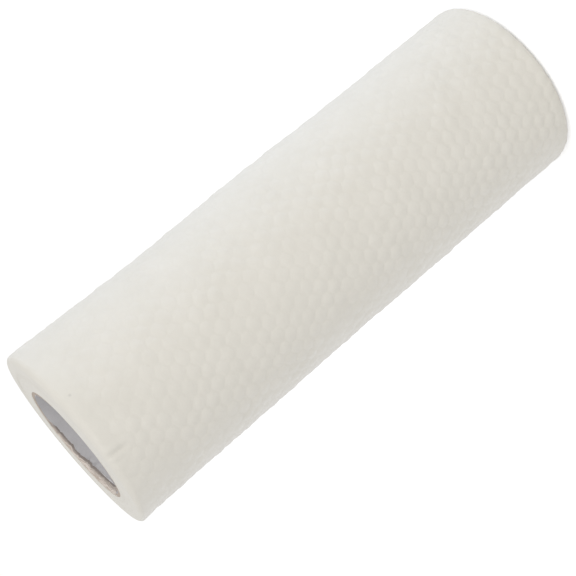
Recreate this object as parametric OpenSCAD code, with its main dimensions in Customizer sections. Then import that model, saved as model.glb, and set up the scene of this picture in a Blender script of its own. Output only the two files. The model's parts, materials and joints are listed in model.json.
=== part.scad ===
// A roll of embossed nonwoven kitchen towel, wound on a paperboard core and stood on its end.
// Sizes are in millimetres. The origin is on the core's axis, at the end that the roll stands on, and +Z is
// the winding axis. The roll is wound a little off the core's axis, towards +X.

/* [Roll] */
// Width of the web, which is the height of the roll on its end
roll_len = 200; // [120:1:280]
// Outside diameter of the wound roll, over the tops of the bumps
roll_d = 68; // [58:0.5:110]
// Turns of web between the core and the outside
turns = 30; // [8:1:40]
// How far the winding has crept sideways from the core's axis by the outside turn
creep = 1.6; // [0:0.05:2.5]
// Step at the free end of the web, where the last turn stops
tail_step = 0.5; // [0.2:0.05:1.2]
// Direction in which the free end of the web lies, seen from above
tail_angle = 115; // [0:1:359]

/* [Ends] */
// How far the loosened turns swell out at the upper end
flare = 0.5; // [0:0.05:2]
// Height over which the swelling runs out
flare_h = 60; // [10:1:100]
// Height of the soft rounding at the upper rim
top_rim_h = 2.8; // [1:0.1:6]
// Width of the soft rounding at the upper rim
top_rim_w = 3.7; // [1:0.1:6]
// Height of the soft rounding at the lower rim
base_rim_h = 2.3; // [1:0.1:6]
// Width of the soft rounding at the lower rim
base_rim_w = 4.8; // [1:0.1:6]
// Depth of the furrow between two turns on an end face
furrow_depth = 0.2; // [0.05:0.05:0.6]

/* [Embossing] */
// Height of a bump over the seams around it
bump_h = 0.5; // [0.1:0.05:0.8]
// Spacing of the bumps around the roll
bump_pitch = 5.75; // [4.5:0.25:9]
// Spacing of the rows of bumps along the roll
row_pitch = 4.15; // [3.5:0.05:8]
// Height of the band at the upper rim where handling has pressed the bumps flat
pressed_band = 12; // [0:0.5:30]

/* [Core] */
// Outside diameter of the paperboard core
core_d = 44; // [30:0.5:50]
// Wall thickness of the core
core_wall = 1.5; // [0.8:0.1:3]

/* [Hidden] */
$fn = 64;
core_r = core_d / 2;
roll_r = roll_d / 2;
bumps_around = round(PI * roll_d / bump_pitch);
row_count = 2 * ceil(roll_len / row_pitch / 2) + 3;
row_start = (roll_len - (row_count - 1) * row_pitch) / 2;
turn_step = (roll_r - core_r) / turns;
// A furrow's half width, where its sides run out past the end face
furrow_w = 0.44 * turn_step;
furrow_over = furrow_depth / 4;
rim_steps = 5;
rim_clear = 0.4;
cut_over = 1;

// Share of its full height that a bump keeps at height z: nothing at the upper rim, all below the pressed band
function kept_share(z) =
    let (t = min(max((roll_len - z) / max(pressed_band, 0.01), 0), 1))
    t * t * (3 - 2 * t);

// Radius of the roll at height z, over the bumps. It grows faster and faster towards the upper end
function swollen_r(z) = roll_r + flare * pow(max(1 - (roll_len - z) / flare_h, 0), 2);

// A point on the drum at k bump pitches round from the free end of the web. The radius falls by the step
// of the tail over one turn, so the outside is a spiral
function drum_point(k, z, depth) =
    let (a = 360 * k / bumps_around, r = swollen_r(z) - tail_step * k / bumps_around - depth * kept_share(z))
    [r * cos(a), r * sin(a), z];

// A ring of points at a height. A ring on whole pitches has one point more, because the free end of the web
// needs an upper and a lower one
function drum_ring(whole, z, depth) =
    [for (k = [0 : whole ? bumps_around : bumps_around - 1]) drum_point(k + (whole ? 0 : 0.5), z, depth)];

// Row j of hexagonal cells has three rings: its lower corners, the tops of its bumps and its upper corners.
// Even rows have their bumps on whole pitches and odd rows on half ones, as in a honeycomb
function is_even(j) = j % 2 == 0;
function row_z(j) = row_start + j * row_pitch;
function row_rings(j) = concat(
    drum_ring(!is_even(j), row_z(j) - row_pitch / 3, bump_h),
    drum_ring(is_even(j), row_z(j), 0),
    drum_ring(!is_even(j), row_z(j) + row_pitch / 3, bump_h));

// Index of point i in the lower corners, the tops and the upper corners of row j
function row_base(j) = bumps_around + 1 + floor(j / 2) * (6 * bumps_around + 3)
    + (is_even(j) ? 0 : 3 * bumps_around + 1);
function lower(j, i) = row_base(j) + i;
function top(j, i) = row_base(j) + bumps_around + (is_even(j) ? 0 : 1) + i;
function upper(j, i) = j < 0 ? i : top(j, i) + bumps_around + (is_even(j) ? 1 : 0);

// Fan of triangles from a bump's top to the corners around it
function fan(centre, corners, closed) =
    [for (i = [0 : len(corners) - (closed ? 1 : 2)])
        [centre, corners[i], corners[(i + 1) % len(corners)]]];

function cell(j, i) = is_even(j)
    ? fan(top(j, i), [upper(j, i - 1), lower(j + 1, i), upper(j, i),
        lower(j, i), upper(j - 1, i), lower(j, i - 1)], true)
    : fan(top(j, i), [upper(j, i), lower(j + 1, i), upper(j, i + 1),
        lower(j, i + 1), upper(j - 1, i), lower(j, i)], true);

// The free end of the web cuts a bump of each even row in two
function first_half_cell(j) =
    fan(top(j, 0), [lower(j + 1, 0), upper(j, 0), lower(j, 0), upper(j - 1, 0)], false);
function last_half_cell(j) =
    let (n = bumps_around)
    fan(top(j, n), [upper(j - 1, n), lower(j, n - 1), upper(j, n - 1), lower(j + 1, n)], false);

// Points of the free end from bottom to top, on its outer side (i = 0) or its inner side (i = bumps_around)
function tail_line(i) = concat([upper(-1, i)],
    [for (j = [0 : row_count - 1]) each is_even(j) ? [top(j, i)] : [lower(j, i), upper(j, i)]],
    [lower(row_count, i)]);

// The embossed drum, longer than the roll at both ends
module embossed_drum() {
    n = bumps_around;
    last = row_count - 1;
    bottom_z = row_z(0) - row_pitch / 3;
    top_z = row_z(last) + row_pitch / 3;
    outer = tail_line(0);
    inner = tail_line(n);
    points = concat(drum_ring(true, bottom_z, bump_h),
        [for (j = [0 : last]) each row_rings(j)],
        drum_ring(true, top_z, bump_h));
    faces = concat(
        [for (j = [0 : last]) for (i = [is_even(j) ? 1 : 0 : n - 1]) each cell(j, i)],
        [for (j = [0 : 2 : last]) each concat(first_half_cell(j), last_half_cell(j))],
        [for (i = [0 : len(outer) - 2]) each [[outer[i], inner[i], inner[i + 1]],
            [outer[i], inner[i + 1], outer[i + 1]]]],
        [concat([for (i = [0 : n - 1]) each [upper(-1, i), lower(0, i)]], [upper(-1, n)])],
        [concat([lower(row_count, n)],
            [for (i = [n - 1 : -1 : 0]) each [upper(last, i), lower(row_count, i)]])]);
    polyhedron(points, faces);
}

// Quarter ellipse of a soft rim, from the side of the roll at radius r to its end face at height 0
function rim_curve(r, w, h) =
    [for (s = [0 : rim_steps])
        let (a = 90 * s / rim_steps)
        [r + rim_clear - (w + rim_clear) * (1 - cos(a)), h * (1 - sin(a))]];

// Solid between the two end faces, with soft rims
module turned_blank() {
    base_rim = rim_curve(roll_r, base_rim_w, base_rim_h);
    top_rim = rim_curve(swollen_r(roll_len), top_rim_w, top_rim_h);
    rotate_extrude()
        polygon(concat([[0, 0]],
            [for (i = [rim_steps : -1 : 0]) base_rim[i]],
            [for (p = top_rim) [p[0], roll_len - p[1]]],
            [[0, roll_len]]));
}

// The furrows between the turns, as they show on an end face at height 0. Each turn lies a little further
// off the core's axis than the one inside it
module turn_furrows(rim_w) {
    for (k = [1 : turns])
        if (core_r + k * turn_step < roll_r - rim_w)
            translate([creep * k / turns, 0, 0])
                rotate_extrude()
                    polygon([[core_r + k * turn_step - furrow_w, -furrow_over],
                        [core_r + k * turn_step, furrow_depth],
                        [core_r + k * turn_step + furrow_w, -furrow_over]]);
}

module core() {
    color("tan")
        difference() {
            cylinder(r = core_r, h = roll_len);
            translate([0, 0, -cut_over])
                cylinder(r = core_r - core_wall, h = roll_len + 2 * cut_over);
        }
}

module towel() {
    color("ivory")
        intersection() {
            translate([creep, 0, 0])
                rotate([0, 0, tail_angle])
                    embossed_drum();
            difference() {
                translate([creep, 0, 0])
                    turned_blank();
                translate([0, 0, -cut_over])
                    cylinder(r = core_r, h = roll_len + 2 * cut_over);
                turn_furrows(base_rim_w);
                translate([0, 0, roll_len])
                    mirror([0, 0, 1])
                        turn_furrows(top_rim_w);
            }
        }
}

core();
towel();
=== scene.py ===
# %% [markdown]
# A roll of nonwoven kitchen towel
#
# The real thing is one long web of embossed nonwoven, wound on a paperboard core. It is soft, matt and
# pale. Nothing on it is hard or shiny, so its look comes from three things: the honeycomb of small raised
# bumps on the outside, the soft rims where the web curls in at both ends, and the grey paper tube with its
# torn brown edge. The lesson makes those one after the other, round a model that already has the right
# size.

# %% Load the sized model
import json
import math

import bpy
import numpy as np
from mathutils import Matrix, Vector


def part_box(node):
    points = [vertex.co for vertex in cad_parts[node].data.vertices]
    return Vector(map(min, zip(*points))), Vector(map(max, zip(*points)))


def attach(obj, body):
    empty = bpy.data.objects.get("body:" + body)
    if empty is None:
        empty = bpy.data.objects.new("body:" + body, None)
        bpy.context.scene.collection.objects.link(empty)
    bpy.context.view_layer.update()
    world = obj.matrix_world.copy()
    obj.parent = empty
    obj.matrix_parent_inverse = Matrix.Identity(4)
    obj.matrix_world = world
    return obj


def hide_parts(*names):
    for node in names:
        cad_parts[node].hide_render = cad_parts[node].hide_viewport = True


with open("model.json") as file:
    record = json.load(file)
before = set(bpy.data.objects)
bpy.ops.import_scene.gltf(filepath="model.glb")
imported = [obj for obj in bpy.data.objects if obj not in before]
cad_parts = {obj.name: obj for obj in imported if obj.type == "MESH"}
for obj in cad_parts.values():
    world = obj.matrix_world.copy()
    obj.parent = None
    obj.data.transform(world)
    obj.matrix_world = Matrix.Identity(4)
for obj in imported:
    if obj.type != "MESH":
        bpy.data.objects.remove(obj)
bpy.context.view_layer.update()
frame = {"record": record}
CORE_LOW, CORE_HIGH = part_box("core")
MM = 0.001

core_radius = (CORE_HIGH.x - CORE_LOW.x) / 2
bore_radius = frame["record"]["mounts"][0]["dims"]["r_mm"] * MM
roll_length = CORE_HIGH.z - CORE_LOW.z
print("core radius", core_radius, "bore radius", bore_radius, "roll length", roll_length)

# %% [markdown]
# The camera
#
# The photograph looks at the open end from far off, with the roll lying slantwise across the picture. Here
# the roll stands on its end, so the camera takes the slant instead: it looks a little down at the standing
# roll, and is rolled round its own line of sight until the open end lies at the lower left. A long lens
# keeps the two ends nearly the same width, as in the photograph.

# %% Camera
IMAGE_SIDE = 576
FOCAL_PIXELS = 1450
SENSOR_WIDTH = 36.0
CAMERA_AT = Vector((-5.4, -471.6, 255.4)) * MM
CAMERA_DOWN = math.radians(17.0)
CAMERA_ROLL = math.radians(-130.12)

bpy.ops.object.camera_add(location=CAMERA_AT)
camera = bpy.context.object
camera.data.sensor_width = SENSOR_WIDTH
camera.data.lens = FOCAL_PIXELS / IMAGE_SIDE * SENSOR_WIDTH
look = Matrix.Rotation(math.pi / 2 - CAMERA_DOWN, 4, "X") @ Matrix.Rotation(CAMERA_ROLL, 4, "Z")
camera.rotation_euler = look.to_euler()
camera.data.clip_start = 0.01
bpy.context.scene.camera = camera
print("lens", round(camera.data.lens, 1), "mm")

# %% [markdown]
# Colours and nodes
#
# Colours are written as they look on a screen, in hex, and one function turns them to the linear values
# that a shader wants. A second function adds a node, sets its inputs and makes its links in one line. The
# short ones after it name the nodes that are needed most, so that each material below reads as a list of
# steps.

# %% Colour and node helpers


def linear(hex_colour):
    """Linear RGBA of an sRGB hex colour such as 'E6E4DE'."""
    parts = [int(hex_colour[i : i + 2], 16) / 255 for i in (0, 2, 4)]
    return tuple(c / 12.92 if c <= 0.04045 else ((c + 0.055) / 1.055) ** 2.4 for c in parts) + (1.0,)


def add_node(tree, kind, inputs=(), **settings):
    """Adds a node. inputs maps a socket's name or number to a value or to another node's output."""
    node = tree.nodes.new("ShaderNode" + kind)
    for name, value in settings.items():
        setattr(node, name, value)
    for key, value in dict(inputs).items():
        if isinstance(value, bpy.types.NodeSocket):
            tree.links.new(value, node.inputs[key])
        else:
            node.inputs[key].default_value = value
    return node


def number(tree, operation, *values):
    """The result of a Math node. values are numbers or sockets, in the order of its inputs."""
    return add_node(tree, "Math", dict(enumerate(values)), operation=operation).outputs[0]


def vector(tree, operation, *values):
    """The outputs of a VectorMath node: "Vector", or "Value" where the result is one number."""
    return add_node(tree, "VectorMath", dict(enumerate(values)), operation=operation).outputs


def ramp(tree, value, start, end, low=0.0, high=1.0, curve="SMOOTHSTEP"):
    """Goes from low to high while the value goes from start to end."""
    inputs = {"Value": value, "From Min": start, "From Max": end, "To Min": low, "To Max": high}
    return add_node(tree, "MapRange", inputs, interpolation_type=curve).outputs["Result"]


def mix_colours(tree, share, first, second):
    """The first colour where the share is 0 and the second where it is 1."""
    mix = add_node(tree, "Mix", {"Factor": share, 6: first, 7: second}, data_type="RGBA")
    return mix.outputs[2]


def add_surface(tree, colour, bump, settings):
    """Ends a material with a principled shader that has the colour, the bump and the other settings."""
    inputs = {"Base Color": colour, "Normal": bump.outputs["Normal"], **settings}
    shader = add_node(tree, "BsdfPrincipled", inputs)
    add_node(tree, "OutputMaterial", {"Surface": shader.outputs["BSDF"]})


def new_material(name):
    """A material whose node tree is empty, and that tree."""
    material = bpy.data.materials.new(name)
    material.use_nodes = True
    material.node_tree.nodes.clear()
    return material, material.node_tree


# %% [markdown]
# Nonwoven web
#
# Spunlace nonwoven is viscose and polyester fibre, tangled by water jets and pressed with a warm roller. It
# has no gloss at all, only a soft lift of light at grazing angles from the loose fibres, which sheen gives.
# Real fibres are about 0.02 mm thick and lie in strands of 0.3 mm, too fine to show here, so the strands
# are drawn about 0.7 mm wide.
#
# The roller also presses narrow seams between the bumps, in a honeycomb. Its cells are those of two grids
# of bump centres, the even rows and the odd rows: a seam is where the nearest centres of both grids are
# equally far, or half way between two neighbours in one row. The pattern follows the surface, so it reads
# the towel's own UV map, which counts bumps round the roll and rows along it. The seams are also coloured
# a little darker: that is painted shade, for the shade that falls in the pressed grooves.

# %% Nonwoven material
STRAND = 0.7 * MM
STRAND_HEIGHT = 0.12 * MM
CLOUD = 9.0 * MM
BUMP_AROUND = 5.75 * MM
ROW_PITCH = 4.15 * MM
SEAM_HALF = 0.6 * MM
SEAM_DEPTH = 0.012 * MM
SPECK_AT = Vector((12.2, -32.2, 195.6)) * MM
SPECK_RADIUS = 0.8 * MM
SPECK_SHARE = 0.35


def seam_share(tree):
    """A socket that is 0 in the seams of the honeycomb and 1 on the bumps."""
    uv = add_node(tree, "UVMap", uv_map="honeycomb").outputs["UV"]
    row_width = ROW_PITCH / BUMP_AROUND
    squares = []
    sideways = []
    for centre in ((0, 0, 0), (0.5, 1, 0)):
        moved = vector(tree, "SUBTRACT", uv, centre)["Vector"]
        off = vector(tree, "WRAP", moved, (0.5, 1, 0), (-0.5, -1, 0))["Vector"]
        flat = vector(tree, "MULTIPLY", off, (1, row_width, 0))["Vector"]
        squares.append(vector(tree, "DOT_PRODUCT", flat, flat)["Value"])
        along_row = vector(tree, "DOT_PRODUCT", off, (1, 0, 0))["Value"]
        sideways.append(number(tree, "ABSOLUTE", along_row))
    between = number(tree, "SUBTRACT", squares[0], squares[1])
    away = number(tree, "ABSOLUTE", between)
    to_slanted = number(tree, "DIVIDE", away, 2 * math.hypot(0.5, row_width))
    odd = number(tree, "GREATER_THAN", between, 0.0)
    own = add_node(tree, "Mix", {"Factor": odd, 2: sideways[0], 3: sideways[1]}, data_type="FLOAT")
    to_straight = number(tree, "SUBTRACT", 0.5, own.outputs[0])
    nearest = number(tree, "MINIMUM", to_slanted, to_straight)
    share = ramp(tree, nearest, 0.0, SEAM_HALF / BUMP_AROUND)
    kept = add_node(tree, "Attribute", attribute_name="kept").outputs["Fac"]
    pressed = number(tree, "SUBTRACT", 1.0, kept)
    return number(tree, "MAXIMUM", share, pressed)


def nonwoven_material(name, embossed):
    """Matt fibre with faint clouds and one grey speck, and, if it is embossed, the seams of the honeycomb
    as a bump with painted shade in them.
    """
    material, tree = new_material(name)
    place = add_node(tree, "TexCoord").outputs["Object"]
    strands = add_node(
        tree, "TexNoise", {"Vector": place, "Scale": 1 / STRAND, "Detail": 3.0, "Roughness": 0.6}
    )
    clouds = add_node(tree, "TexNoise", {"Vector": place, "Scale": 1 / CLOUD, "Detail": 2.0})
    colour = mix_colours(tree, clouds.outputs["Fac"], linear("DFDBD1"), linear("E7E3DA"))
    off = vector(tree, "DISTANCE", place, SPECK_AT)["Value"]
    speck = ramp(tree, off, 0.0, SPECK_RADIUS, SPECK_SHARE, 0.0, curve="LINEAR")
    colour = mix_colours(tree, speck, colour, linear("8C8882"))
    bump = add_node(
        tree,
        "Bump",
        {"Height": strands.outputs["Fac"], "Strength": 0.35, "Distance": STRAND_HEIGHT},
    )
    if embossed:
        share = seam_share(tree)
        # Painted shade: the seams of the honeycomb are coloured a little darker, for the shade in the
        # grooves.
        colour = mix_colours(tree, share, linear("E2DED4"), colour)
        bump = add_node(
            tree, "Bump", {"Height": share, "Distance": SEAM_DEPTH, "Normal": bump.outputs["Normal"]}
        )
    settings = {
        "Roughness": 0.95,
        "IOR": 1.47,
        "Specular IOR Level": 0.2,
        "Sheen Weight": 0.4,
        "Sheen Roughness": 0.5,
    }
    add_surface(tree, colour, bump, settings)
    return material


embossed_nonwoven = nonwoven_material("embossed spunlace nonwoven", embossed=True)
cut_nonwoven = nonwoven_material("cut spunlace nonwoven", embossed=False)

# %% [markdown]
# Paperboard
#
# The core is wound from strips of recycled board. The strips in the wall are brown kraft, which shows only
# where the tube was cut, and the innermost one is grey. Board is matt with a faint mottle of fibre about
# half a millimetre across.
#
# Where the liner has torn off, the wall has a dark line just above the liner's torn edge, which is painted
# shade for the gap where the liner stands off the wall, and, above it, torn kraft: pale fibre in streaks
# along the rim, a quarter of a millimetre wide. The wall's UV map gives them their place. It counts metres
# round the rim and metres above the torn edge of the liner.

# %% Paperboard materials
BOARD_FIBRE = 0.5 * MM
STREAK_LONG = 5.0 * MM
STREAK_WIDE = 0.28 * MM
STREAK_LEVELS = (0.38, 0.56)
PAINTED_SHADE_WIDE = 0.42 * MM
PAINTED_SHADE_FADED = 1.7 * PAINTED_SHADE_WIDE


def torn_colour(tree, colour):
    """The colour of a torn wall: a dark band of painted shade above the liner's edge, then pale streaks.
    Whole board keeps the colour handed in.
    """
    rim = add_node(tree, "UVMap", uv_map="rim").outputs["UV"]
    torn = add_node(tree, "Attribute", attribute_name="torn").outputs["Fac"]
    above = add_node(tree, "SeparateXYZ", {0: rim}).outputs["Y"]
    drawn = vector(tree, "MULTIPLY", rim, (1 / STREAK_LONG, 1 / STREAK_WIDE, 0))["Vector"]
    noise = add_node(tree, "TexNoise", {"Vector": drawn, "Scale": 1.0, "Detail": 2.0})
    streaks = ramp(tree, noise.outputs["Fac"], *STREAK_LEVELS)
    pale = number(tree, "MULTIPLY", streaks, torn)
    colour = mix_colours(tree, pale, colour, linear("DDD3CA"))
    # Painted shade: a dark band just above the liner's torn edge, for the shade in the gap behind the
    # liner.
    fading = ramp(tree, above, PAINTED_SHADE_WIDE, PAINTED_SHADE_FADED, 1.0, 0.0)
    painted_shade = number(tree, "MULTIPLY", fading, torn)
    return mix_colours(tree, painted_shade, colour, linear("9D938D"))


def board_material(name, dark, light, bump_height, torn=False):
    """Matt board, mottled from the dark colour to the light one."""
    material, tree = new_material(name)
    place = add_node(tree, "TexCoord").outputs["Object"]
    mottle = add_node(
        tree, "TexNoise", {"Vector": place, "Scale": 1 / BOARD_FIBRE, "Detail": 4.0, "Roughness": 0.65}
    )
    colour = mix_colours(tree, mottle.outputs["Fac"], linear(dark), linear(light))
    if torn:
        colour = torn_colour(tree, colour)
    bump = add_node(
        tree, "Bump", {"Height": mottle.outputs["Fac"], "Strength": 0.5, "Distance": bump_height}
    )
    settings = {"Roughness": 0.85, "IOR": 1.5, "Specular IOR Level": 0.3}
    add_surface(tree, colour, bump, settings)
    return material


kraft_board = board_material("kraft paperboard", "AC9E93", "CCBFB3", 0.15 * MM, torn=True)
grey_liner = board_material("grey recycled liner", "CFCDCE", "DFDDDE", 0.06 * MM)

# %% [markdown]
# Turning a wall from its section
#
# Both the towel and the core are made as on a lathe. A flat rectangle is the wall cut through, its face is
# deleted so that only the outline stays, and the Screw modifier turns that outline once round the axis.
# That gives a closed ring with no poles and no seam, which is then shaped by moving its points.

# %% Section helper
RIM_SEGMENTS = 9
TOUCH = 0.001 * MM


def select_only(piece):
    bpy.ops.object.select_all(action="DESELECT")
    piece.select_set(True)
    bpy.context.view_layer.objects.active = piece


def apply_modifiers(piece):
    select_only(piece)
    for modifier in list(piece.modifiers):
        bpy.ops.object.modifier_apply(modifier=modifier.name)


def select_points(piece, wanted):
    """In edit mode, selects the points whose place passes the test, and the edges between them."""
    bpy.ops.object.mode_set(mode="OBJECT")
    for part in (piece.data.polygons, piece.data.edges, piece.data.vertices):
        part.foreach_set("select", [False] * len(part))
    for point in piece.data.vertices:
        point.select = wanted(point.co)
    for edge in piece.data.edges:
        edge.select = all(piece.data.vertices[i].select for i in edge.vertices)
    bpy.ops.object.mode_set(mode="EDIT")


def cut_edges(cuts):
    """Subdivides the selected edges once for each count of cuts. One pass makes 100 cuts at most."""
    for count in cuts:
        bpy.ops.mesh.subdivide(number_cuts=count)


def section(name, inner, outer, low, high, side_cuts, end_cuts=(), rim=0.0):
    """Outline of a wall from the inner to the outer radius, standing on the +X side of the axis."""
    bpy.ops.object.select_all(action="DESELECT")
    bpy.ops.mesh.primitive_plane_add(size=1, rotation=(math.pi / 2, 0, 0))
    piece = bpy.context.object
    piece.name = name
    bpy.ops.object.transform_apply(location=True, rotation=True, scale=True)
    bpy.ops.object.mode_set(mode="EDIT")
    bpy.ops.mesh.select_all(action="SELECT")
    bpy.ops.transform.resize(value=(outer - inner, 1, high - low))
    bpy.ops.transform.translate(value=((outer + inner) / 2, 0, (high + low) / 2))
    bpy.ops.mesh.delete(type="ONLY_FACE")
    if rim:
        select_points(piece, lambda co: co.x > outer - TOUCH)
        bpy.ops.mesh.bevel(offset=rim, segments=RIM_SEGMENTS, affect="VERTICES")
    select_points(piece, lambda co: co.x > outer - TOUCH)
    cut_edges(side_cuts)
    for end in (low, high):
        select_points(piece, lambda co: abs(co.z - end) < TOUCH)
        cut_edges(end_cuts)
    bpy.ops.object.mode_set(mode="OBJECT")
    return piece


def turn(piece, steps):
    """Turns a section once round the Z axis, with its faces outwards."""
    screw = piece.modifiers.new("turn", "SCREW")
    screw.angle = 2 * math.pi
    screw.steps = screw.render_steps = steps
    screw.use_merge_vertices = True
    screw.merge_threshold = TOUCH
    apply_modifiers(piece)
    bpy.ops.object.mode_set(mode="EDIT")
    bpy.ops.mesh.select_all(action="SELECT")
    bpy.ops.mesh.normals_make_consistent(inside=False)
    bpy.ops.object.mode_set(mode="OBJECT")


def points_of(piece):
    co = np.empty(len(piece.data.vertices) * 3)
    piece.data.vertices.foreach_get("co", co)
    return co.reshape(-1, 3)


def set_points(piece, co):
    piece.data.vertices.foreach_set("co", co.ravel())
    piece.data.update()


def corner_points(mesh):
    """The number of the point at each corner of each face."""
    corners = np.empty(len(mesh.loops), dtype=np.int32)
    mesh.loops.foreach_get("vertex_index", corners)
    return corners


def add_map(mesh, name, uv):
    mesh.uv_layers.new(name=name).data.foreach_set("uv", uv.ravel())


def add_values(mesh, name, values):
    mesh.attributes.new(name, "FLOAT", "POINT").data.foreach_set("value", values)


def set_material(piece, material):
    piece.data.materials.clear()
    piece.data.materials.append(material)


# %% [markdown]
# Smooth randomness
#
# Soft goods are never quite even. A sum of a few sine waves with seeded directions gives a smooth, gentle
# unevenness over the roll's surface that is the same at every run. The waves take whole numbers of periods
# round the roll, so they close on themselves.

# %% Uneven surface helper


def waves(angle, height, seed, around=(1, 6), along=(20, 90), count=8):
    """A smooth field between about -1 and 1 over the angle and the height in metres."""
    rng = np.random.default_rng(seed)
    total = np.zeros_like(angle)
    for _ in range(count):
        n = rng.integers(around[0], around[1] + 1)
        period = rng.uniform(*along) * MM
        side = rng.choice((-1, 1))
        total += np.sin(side * n * angle + 2 * math.pi * height / period + rng.uniform(0, 2 * math.pi))
    return total / math.sqrt(count)


def smooth_step(value):
    t = np.clip(value, 0, 1)
    return t * t * (3 - 2 * t)


# %% [markdown]
# The wound towel
#
# The outside of the roll is the web's last turn. Its bumps lie in a honeycomb, 5.75 mm apart round the roll
# and in rows 4.15 mm apart along it, each second row set half a bump over. For every point of the surface
# the nearest bump centres are found: where two are equally far there is a seam, and towards the nearest one
# the surface rises in a rounded pillow. Each bump gets its own height, because pressed fibre is never even.
#
# Handling has changed the pattern from place to place. The bumps are pressed out in a band below the upper
# rim, and they are flatter on the side that the photograph shows at its upper left. Low down at its right
# the seams between the bumps of one row have filled, so that each row runs together into a ridge.
#
# The radius also falls a little all the way round, so that the last turn ends in a small step on the far
# side, where the free end of the web lies on the turn below it.

# %% Towel body
ROLL_RADIUS = 34.0 * MM
CREEP = 1.6 * MM
TAIL_STEP = 0.5 * MM
TAIL_ANGLE = math.radians(115)
TAIL_GAP = 0.001
TAIL_LIFT = 0.25 * MM
TAIL_LIFT_WIDTH = 3 * MM
TAIL_WAVY = 0.6
SWELL = 0.5 * MM
SWELL_HEIGHT = 60 * MM
BUMP_HEIGHT = 0.63 * MM
PRESSED_BAND = 12 * MM
FIRM_HEIGHT = 110 * MM
RIDGED_BELOW = 90 * MM
RIDGED_FADE = 60 * MM
TOP_RIM = (3.7 * MM, 2.8 * MM)
BASE_RIM = (4.8 * MM, 2.3 * MM)
SKIN = 2.5 * MM
SAG = 0.16 * MM
RIPPLE = 0.07 * MM
STEPS_AROUND = 296
SIDE_CUTS = (16, 16)

# Sides of the roll, as angles round it in radians: the front, the most handled side and the ridged one
FRONT = -1.6
HANDLED = -0.5
RIDGED = -2.1

# Both in bump widths. A pillow is at full height where its own centre is this much nearer than the next
# one, and FAR_OFF is further than any centre that counts
PILLOW_SIDE = 0.85
FAR_OFF = 9.0

# The lowest bump's height as a share of the highest one's, and the rest of the share, which is up to chance
LEAST_HEIGHT = 0.66
HEIGHT_SPREAD = 0.34

# How far the honeycomb is pulled out of true, in bump widths around and in rows along
SLOW_PULL = (0.09, 0.10)
QUICK_PULL = (0.022, 0.026)

# How far the ridges fill the seams between neighbours in one row
RIDGE_JOINED = 0.35

# Share of its height that a bump keeps at the upper end, and what it gains further down and in the ridges
FIRM_ABOVE, FIRM_BELOW, FIRM_RIDGED = 0.82, 0.18, 0.3

# Share of its height that a bump keeps in any place, and how much that share varies from place to place
KEPT_USUAL, KEPT_UNEVEN = 0.9, 0.14

# Share of its height that a bump loses at the front and on the handled side
FLAT_FRONT, FLAT_HANDLED = 0.18, 0.4

# Share of its full width that the pressed band has everywhere, and what it gains on the handled side
BAND_LEAST, BAND_GAIN = 0.55, 0.45

# How much the top rim's corner is sharpened on two sides, each with its angle in radians
SHARP_RIM = ((0.55, math.pi), (0.35, 0.1))


def pillow_height(around, along, bumps, joined):
    """Height from 0 in the seams to 1 on the bumps, for points counted in bumps around and rows along.
    joined raises the seams between neighbours in one row, so that they run together into a ridge."""
    row_width = ROW_PITCH / BUMP_AROUND
    base_row = np.round(along)
    centres = []
    for step in (-1, 0, 1):
        row = base_row + step
        shift = np.mod(row, 2) / 2
        for side in (-1, 0, 1):
            bump = np.round(around - shift) + side
            away = np.hypot(around - (bump + shift), (along - row) * row_width)
            cell = np.mod(bump, bumps) * 131 + row * 977
            centres.append((away, row, 0.5 + 0.5 * np.sin(cell * 12.9898 + 4.1)))
    away, row, own = (np.array(values) for values in zip(*centres))
    first = away.argmin(axis=0)[None, :]
    nearest = np.take_along_axis(away, first, axis=0)[0]
    share = np.take_along_axis(own, first, axis=0)[0]
    beside = row == np.take_along_axis(row, first, axis=0)
    np.put_along_axis(away, first, FAR_OFF, axis=0)
    in_row = np.where(beside, away, FAR_OFF).min(axis=0)
    in_others = np.where(beside, FAR_OFF, away).min(axis=0)
    from_others = (in_others - nearest) / PILLOW_SIDE
    from_row = (in_row - nearest) / PILLOW_SIDE + joined
    rise = np.clip(np.minimum(from_others, from_row), 0, 1)
    return (1 - (1 - rise) ** 2.0) * (LEAST_HEIGHT + HEIGHT_SPREAD * share)


def facing(angle, side, power):
    """1 at a side of the roll, falling to 0 opposite. The power is even and says how narrow the rise is."""
    return np.cos((angle - side) / 2) ** power


def off_axis(radius):
    """How far the turn at a radius has crept from the core's axis."""
    return CREEP * np.clip((radius - core_radius) / (ROLL_RADIUS - core_radius), 0, 1)


def crease(angle, height, start, end, width, depth):
    """A soft crease between two ends, each an angle in degrees and a height in mm. A ridge is below 0."""
    x = (angle - math.radians(start[0])) * ROLL_RADIUS
    y = height - start[1] * MM
    run = np.array(((end[0] - start[0]) * math.pi / 180 * ROLL_RADIUS, (end[1] - start[1]) * MM))
    length = np.hypot(*run)
    run = run / length
    t = (x * run[0] + y * run[1]) / length
    across = -x * run[1] + y * run[0]
    ends = smooth_step((0.5 - np.abs(t - 0.5)) * 3 + 0.5)
    return -depth * np.exp(-((across / width) ** 2)) * ends


# Angle in degrees and height in mm of each crease's two ends, then its width and depth in mm
CREASES = [
    ((-109.2, 200.0), (-110.4, 192.2), 0.8, 0.5),
    ((-105.5, 200.0), (-107.5, 191.5), 1.0, -0.30),
    ((-114.0, 199.5), (-114.5, 194.0), 0.8, 0.22),
    ((-20.0, 147.5), (-46.0, 151.2), 0.9, 0.16),
    ((-23.0, 151.2), (-58.0, 148.8), 0.9, 0.14),
    ((-38.0, 168.6), (-55.0, 167.2), 0.9, 0.14),
    ((-126.0, 199.0), (-128.0, 193.0), 1.1, 0.16),
]


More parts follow.
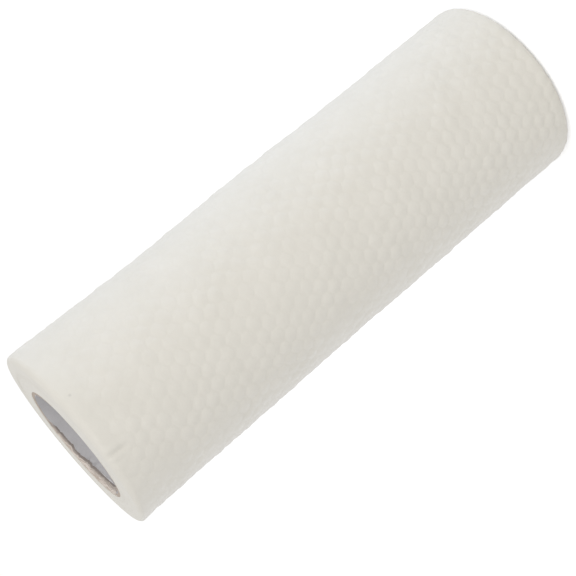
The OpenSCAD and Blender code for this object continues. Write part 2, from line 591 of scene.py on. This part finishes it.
def shape_towel(piece):
    co = points_of(piece)
    radius = np.hypot(co[:, 0], co[:, 1])
    column = np.mod(np.round(np.arctan2(co[:, 1], co[:, 0]) / (2 * math.pi) * STEPS_AROUND), STEPS_AROUND)
    turned = column / (STEPS_AROUND - 1) * (2 * math.pi - TAIL_GAP)
    angle = np.mod(turned + TAIL_ANGLE + math.pi, 2 * math.pi) - math.pi
    height = co[:, 2].copy()

    # The quarter rounds of the section become the flat quarter ellipses of the soft rims. Handling has left
    # the upper rim with a sharper corner on two sides
    corner = TOP_RIM[0]
    in_from_side = ROLL_RADIUS - radius
    sharp = sum(share * facing(angle, side, 12) for share, side in SHARP_RIM)
    for end, (width, tall) in ((roll_length, TOP_RIM), (0.0, BASE_RIM)):
        in_from_end = np.abs(end - height)
        near = (in_from_side <= corner + TOUCH) & (in_from_end <= corner + TOUCH)
        inward = 1 if end == 0 else -1
        blunt = 1 - sharp if end else 1.0
        height = np.where(near, end + inward * in_from_end * blunt * tall / corner, height)
        radius = np.where(near, ROLL_RADIUS - in_from_side * blunt * width / corner, radius)

    # How much of the outside's shape a point takes: all on the side, none at the bore
    outside = smooth_step((radius - core_radius) / (ROLL_RADIUS - core_radius))
    on_side = smooth_step((radius - (ROLL_RADIUS - SKIN)) / SKIN)

    # The honeycomb is pulled a little out of true, slowly along the web and quickly from bump to bump
    bumps = round(2 * math.pi * ROLL_RADIUS / BUMP_AROUND)
    around = turned / (2 * math.pi) * bumps
    slow = {"along": (25, 70)}
    quick = {"around": (9, 24), "along": (9, 16)}
    around = around + SLOW_PULL[0] * waves(angle, height, seed=3, **slow)
    around = around + QUICK_PULL[0] * waves(angle, height, seed=41, **quick)
    along = height / ROW_PITCH + SLOW_PULL[1] * waves(angle, height, seed=8, **slow)
    along = along + QUICK_PULL[1] * waves(angle, height, seed=42, **quick)
    low_down = smooth_step((RIDGED_BELOW - height) / RIDGED_FADE)
    ridged = np.clip(np.cos((angle - RIDGED) / 2), 0, 1) ** 8 * low_down
    pillows = pillow_height(around, along, bumps, RIDGE_JOINED * ridged)

    # How much of its height a bump keeps. The pressed band is widest on the handled side, and the bumps
    # are firmer further down and in the ridges
    from_top = roll_length - height
    band = PRESSED_BAND * (BAND_LEAST + BAND_GAIN * facing(angle, HANDLED, 2))
    below_band = smooth_step(from_top / band)
    firm = FIRM_ABOVE + FIRM_BELOW * smooth_step(from_top / FIRM_HEIGHT) + FIRM_RIDGED * ridged
    flattened = 1 - FLAT_FRONT * facing(angle, FRONT, 2) - FLAT_HANDLED * facing(angle, HANDLED, 6)
    uneven = KEPT_USUAL + KEPT_UNEVEN * waves(angle, height, seed=5)
    kept = below_band * firm * flattened * uneven
    relief = -BUMP_HEIGHT * (1 - pillows) * kept

    swell = SWELL * np.clip(1 - from_top / SWELL_HEIGHT, 0, 1) ** 2
    spiral = -TAIL_STEP * turned / (2 * math.pi)
    sag = SAG * waves(angle, height, seed=11, around=(1, 4), along=(60, 200))
    ripple = RIPPLE * waves(angle, height, seed=21, around=(3, 9), along=(8, 20))
    folds = sum(
        crease(angle, height, start, end, width * MM, depth * MM)
        for start, end, width, depth in CREASES
    )
    # The last few millimetres of the free end stand a little off the turn below
    from_tail = turned * ROLL_RADIUS
    wavy = 1 + TAIL_WAVY * waves(angle * 0, height, seed=31)
    lift = TAIL_LIFT * np.exp(-from_tail / TAIL_LIFT_WIDTH) * wavy
    radius = radius + outside * (swell + spiral + sag) + on_side * (relief + ripple + folds + lift)

    co[:, 0] = radius * np.cos(angle) + off_axis(radius)
    co[:, 1] = radius * np.sin(angle)
    co[:, 2] = height
    set_points(piece, co)
    map_honeycomb(piece, around, along, on_side * kept)


def map_honeycomb(piece, around, along, kept):
    """Writes the UV map that counts bumps and rows, and the share of the embossing that a point keeps."""
    mesh = piece.data
    corners = corner_points(mesh)
    uv = np.stack((around[corners], along[corners]), axis=1)
    # The faces of the step at the free end would run through all bumps backwards, so they stay on the last
    starts = np.empty(len(mesh.polygons), dtype=np.int32)
    mesh.polygons.foreach_get("loop_start", starts)
    sides = np.diff(np.append(starts, len(uv)))
    low = np.repeat(np.minimum.reduceat(uv[:, 0], starts), sides)
    high = np.repeat(np.maximum.reduceat(uv[:, 0], starts), sides)
    uv[:, 0] = np.where(high - low > 2, high, uv[:, 0])
    add_map(mesh, "honeycomb", uv)
    add_values(mesh, "kept", np.clip(kept, 0, 1))


def make_towel():
    piece = section(
        "towel_roll", core_radius, ROLL_RADIUS, 0.0, roll_length, SIDE_CUTS, end_cuts=(5,), rim=TOP_RIM[0]
    )
    turn(piece, STEPS_AROUND)
    shape_towel(piece)
    bpy.ops.object.shade_smooth_by_angle(angle=math.radians(55))
    set_material(piece, embossed_nonwoven)
    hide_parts("towel")
    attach(piece, "root")
    print("towel_roll", len(piece.data.polygons), "faces")


make_towel()

# %% [markdown]
# The turns on the two ends
#
# From above, a roll's end is the cut edge of its web, one long spiral. Each turn's edge is a soft rounded
# bead, 0.4 mm wide. A curve can carry that: its points follow the spiral, its bevel gives the bead its
# round section, and it is half sunk in the end of the towel body. Some turns stand a little prouder than
# others, as they do where a web has wandered on its way on to the core.

# %% Turn edges
TURN_STEP = 0.4 * MM
POINTS_PER_TURN = 100
BEAD_RADIUS = 0.52 * TURN_STEP
BEAD_SUNK = 0.5 * TURN_STEP
PROUD = 0.10 * MM
WANDER = 0.05 * MM
MOST_PROUD = 0.08 * MM


def turn_edges(name, end_height, rim_width, seed):
    """The beads of all turns on one end, out to the soft rim."""
    first = core_radius + TURN_STEP / 2
    last = ROLL_RADIUS - rim_width + TURN_STEP
    turns = (last - first) / TURN_STEP
    count = int(turns * POINTS_PER_TURN)
    angle = np.arange(count) / POINTS_PER_TURN * 2 * math.pi
    radius = first + TURN_STEP * angle / (2 * math.pi)
    rng = np.random.default_rng(seed)
    proud = rng.uniform(-1, 1, int(turns) + 3)
    turn_number = angle / (2 * math.pi)
    lower = np.floor(turn_number).astype(int)
    blend = smooth_step(turn_number - lower)
    level = proud[lower] * (1 - blend) + proud[lower + 1] * blend
    level = PROUD * level + WANDER * np.sin(angle * 1.37) * np.sin(angle * 0.41 + 1)
    outwards = 1 if end_height > 0 else -1
    height = end_height - outwards * (BEAD_SUNK - np.minimum(level, MOST_PROUD))

    data = bpy.data.curves.new(name, "CURVE")
    data.dimensions = "3D"
    data.bevel_depth = BEAD_RADIUS
    data.bevel_resolution = 1
    data.use_fill_caps = True
    spline = data.splines.new("POLY")
    spline.points.add(count - 1)
    spin = angle + TAIL_ANGLE
    across = radius * np.cos(spin) + off_axis(radius)
    spots = np.stack((across, radius * np.sin(spin), height, np.ones(count)), axis=1)
    spline.points.foreach_set("co", spots.ravel())
    curve = bpy.data.objects.new(name, data)
    bpy.context.collection.objects.link(curve)
    select_only(curve)
    bpy.ops.object.convert(target="MESH")
    piece = bpy.context.object
    bpy.ops.object.shade_smooth()
    set_material(piece, cut_nonwoven)
    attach(piece, "root")
    print(name, len(piece.data.polygons), "faces,", round(turns, 1), "turns")


turn_edges("turn_edges_top", roll_length, TOP_RIM[0], seed=2)
turn_edges("turn_edges_base", 0.0, BASE_RIM[0], seed=4)

# %% [markdown]
# The core
#
# The paper tube has two layers here. The kraft wall was cut with a blunt blade, so its rim is a little
# frayed. The grey liner inside has torn away from it along part of the upper rim: there its edge is
# ragged, hangs lower from one end of the tear to the other, and stands a little off the wall. Above it the
# wall slopes down towards the bore, because fibre came away with the liner, and shows a dark band of
# painted shade and its torn brown streaks. Both layers are turned like the towel, and the tear is made by
# moving their rim points.

# %% Core
LINER_THICK = 0.15 * MM
LINER_BELOW = 0.25 * MM
PEEL = 0.30 * MM
PEEL_RAGGED = 0.15 * MM
PEEL_HEIGHT = 8 * MM
CORE_STEPS = 360

# Where the tear runs round the rim and over what angles its two ends fade, all in radians
TEAR_FROM = math.radians(48)
TEAR_TO = math.radians(172)
TEAR_FADES = (0.3, 0.12)

# The torn edge's depth where the tear begins, how much deeper it ends and how ragged it is, all in mm
TEAR_DEPTH = 0.55
TEAR_DEEPENS = 2.6
TEAR_RAGGED = 0.5

# How far the wall's cut edge is frayed and worn down, and how far it slopes along the tear, all in mm
FRAY, WORN = 0.10, 0.15
SLOPE, SLOPE_RAGGED = 0.85, 0.25


def torn_share(angle):
    """1 where the liner has come off the wall, fading to 0 at both ends of the tear."""
    begun = smooth_step((angle - TEAR_FROM) / TEAR_FADES[0])
    return begun * smooth_step((TEAR_TO - angle) / TEAR_FADES[1])


def tear_depth(angle):
    """How far the liner's torn edge lies below the rim. It gets deeper along the tear."""
    run = np.clip((angle - TEAR_FROM) / (TEAR_TO - TEAR_FROM), 0, 1)
    depth = TEAR_DEPTH + TEAR_DEEPENS * run + TEAR_RAGGED * ragged(angle, 9)
    return torn_share(angle) * depth * MM


def ragged(angle, seed):
    """Uneven edge of torn board between about -1 and 1, made of waves that close round the rim."""
    rng = np.random.default_rng(seed)
    total = np.zeros_like(angle)
    for n in (7, 13, 19, 31, 47, 71, 97, 133):
        total += np.sin(n * angle + rng.uniform(0, 2 * math.pi)) / n**0.45
    return total / 1.3


def make_core_layer(name, inner, outer, side_cuts, end_cuts, shape, material):
    piece = section(name, inner, outer, 0.0, roll_length, side_cuts, end_cuts)
    bpy.ops.object.mode_set(mode="EDIT")
    select_points(piece, lambda co: co.x < (inner + outer) / 2)
    cut_edges(side_cuts)
    bpy.ops.object.mode_set(mode="OBJECT")
    turn(piece, CORE_STEPS)
    co = points_of(piece)
    angle = np.arctan2(co[:, 1], co[:, 0])
    shape(co, np.hypot(co[:, 0], co[:, 1]), angle)
    set_points(piece, co)
    map_rim(piece, co, angle)
    bpy.ops.object.shade_smooth_by_angle(angle=math.radians(40))
    set_material(piece, material)
    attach(piece, "root")
    print(name, len(piece.data.polygons), "faces")
    return piece


def map_rim(piece, co, angle):
    """Writes the UV map round the rim and above the torn edge. Its seam is on the side without a tear."""
    mesh = piece.data
    corners = corner_points(mesh)
    run = np.mod(angle + math.pi / 2, 2 * math.pi) * bore_radius
    above = co[:, 2] - (roll_length - tear_depth(angle))
    add_map(mesh, "rim", np.stack((run[corners], above[corners]), axis=1))
    add_values(mesh, "torn", torn_share(angle))


def fray_wall(co, radius, angle):
    """Frays the cut a little all round, and slopes it where fibre came away with the liner."""
    top = co[:, 2] > roll_length - TOUCH
    inwards = np.clip((core_radius - radius[top]) / (core_radius - bore_radius - LINER_THICK), 0, 1)
    uneven = SLOPE + SLOPE_RAGGED * ragged(angle[top], 6)
    slope = torn_share(angle[top]) * uneven * inwards**0.8
    co[top, 2] += (FRAY * ragged(angle[top], 5) - WORN - slope) * MM


def tear_liner(co, radius, angle):
    """Lowers the liner's rim along the tear and bends its upper end off the wall."""
    rim_height = roll_length - LINER_BELOW - tear_depth(angle)
    share = np.clip((co[:, 2] - (roll_length - PEEL_HEIGHT)) / PEEL_HEIGHT, 0, 1)
    top = co[:, 2] > roll_length - TOUCH
    co[top, 2] = rim_height[top]
    peel = torn_share(angle) * (PEEL + PEEL_RAGGED * ragged(angle, 12)) * share**3
    new_radius = radius - peel
    co[:, 0] = new_radius * np.cos(angle)
    co[:, 1] = new_radius * np.sin(angle)


core_wall = make_core_layer(
    "core_wall", bore_radius + LINER_THICK, core_radius, (40,), (3,), fray_wall, kraft_board
)
core_liner = make_core_layer(
    "core_liner", bore_radius, bore_radius + LINER_THICK, (80,), (), tear_liner, grey_liner
)
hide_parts("core")
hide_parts("core")

# %% [markdown]
# Floor and light
#
# The bumps tell where the photograph's light came from: each is bright towards the picture's left and dark
# towards its right. Here that is a softbox in front, to the roll's +X side and above it. A weaker lamp near
# the camera and two small low ones lift the front and the two outlines, and the world adds the even light
# that most of the roll's brightness comes from. The floor reflects like white paper and adds a little white
# of its own for the camera, so that it reads as the white ground while it keeps the roll's shadow.

# %% Floor, world and lamps
FLOOR_SIDE = 60.0
FLOOR_GLOW = 0.42
WORLD_LEVEL = 0.72


def floor_material():
    material, tree = new_material("white floor")
    path = add_node(tree, "LightPath")
    seen = number(tree, "MAXIMUM", path.outputs["Is Camera Ray"], path.outputs["Is Glossy Ray"])
    diffuse = add_node(tree, "BsdfDiffuse", {"Color": linear("EEEEEE")})
    glow = number(tree, "MULTIPLY", seen, FLOOR_GLOW)
    white = add_node(tree, "Emission", {"Color": (1, 1, 1, 1), "Strength": glow})
    both = add_node(tree, "AddShader", {0: diffuse.outputs[0], 1: white.outputs[0]})
    add_node(tree, "OutputMaterial", {"Surface": both.outputs[0]})
    return material


bpy.ops.object.select_all(action="DESELECT")
bpy.ops.mesh.primitive_plane_add(size=FLOOR_SIDE)
floor = bpy.context.object
floor.name = "floor"
floor.data.materials.append(floor_material())

world = bpy.data.worlds.new("even light")
bpy.context.scene.world = world
world.use_nodes = True
world.node_tree.nodes.clear()
world_path = add_node(world.node_tree, "LightPath")
seen_white = add_node(
    world.node_tree,
    "Mix",
    {"Factor": world_path.outputs["Is Camera Ray"], 2: WORLD_LEVEL, 3: 1.0},
    data_type="FLOAT",
)
background = add_node(
    world.node_tree, "Background", {"Color": (1, 1, 1, 1), "Strength": seen_white.outputs[0]}
)
add_node(world.node_tree, "OutputWorld", {"Surface": background.outputs[0]})


def softbox(name, place, size, power, colour):
    """A square lamp at a place in metres, turned towards the middle of the roll."""
    bpy.ops.object.light_add(type="AREA", location=place)
    lamp = bpy.context.object
    lamp.name = name
    lamp.data.shape = "SQUARE"
    lamp.data.size = size
    lamp.data.energy = power
    lamp.data.color = linear(colour)[:3]
    aim = Vector((0, 0, roll_length / 2)) - Vector(place)
    lamp.rotation_euler = aim.to_track_quat("-Z", "Y").to_euler()


softbox("key", (1.15, -1.56, 1.67), 0.60, 12.0, "FFFFFF")
softbox("front", (-0.62, -1.90, 0.50), 0.50, 3.2, "FFFFFF")
softbox("low side", (0.31, 0.0, 0.02), 0.12, 0.32, "D2E4FF")
softbox("low back", (-0.31, 0.26, 0.015), 0.15, 0.50, "E4ECFF")

bpy.context.scene.view_settings.view_transform = "Standard"
